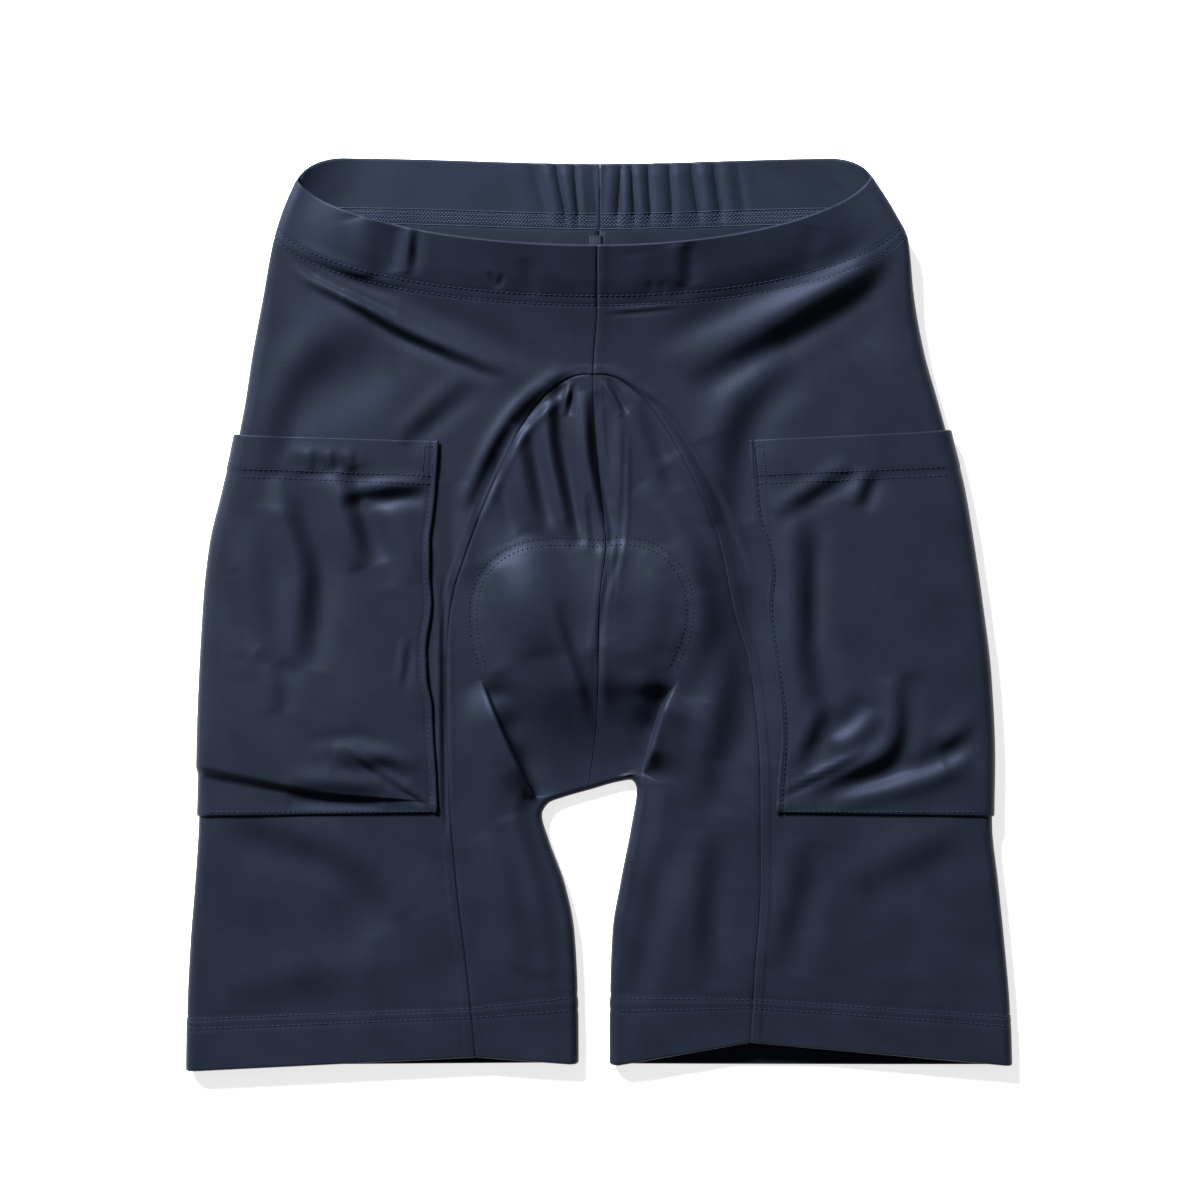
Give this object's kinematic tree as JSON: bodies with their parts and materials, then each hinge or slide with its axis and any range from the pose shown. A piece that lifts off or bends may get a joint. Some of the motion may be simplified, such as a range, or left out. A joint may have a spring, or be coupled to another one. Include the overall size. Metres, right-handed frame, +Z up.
{
  "type": "padded cycling shorts",
  "caption": "Navy padded cycling shorts in fine stretch knit, laid flat front up, with an elastic waistband, a patch pocket on each thigh and a seat pad.",
  "frame": {"origin": "middle of the footprint, on the surface that the back of the garment lies on", "axes": "+X to the wearer's left, across the garment; +Y towards the waist; +Z up, out of the front of the garment"},
  "size_m": [0.4549, 0.504, 0.027],
  "materials": {
    "navy_stretch_knit": "fine stretch knit with a soft satin sheen",
    "navy_waistband": "doubled stretch knit over elastic, satin",
    "pad_fleece": "brushed matt fleece over foam"
  },
  "bodies": {
    "root": {"side_panel_right": "navy_stretch_knit", "side_panel_left": "navy_stretch_knit", "inner_panel_right": "navy_stretch_knit", "inner_panel_left": "navy_stretch_knit", "waistband_right": "navy_waistband", "waistband_left": "navy_waistband", "pocket_right": "navy_stretch_knit", "pocket_left": "navy_stretch_knit", "seat_pad": "pad_fleece"}
  },
  "joints": []
}
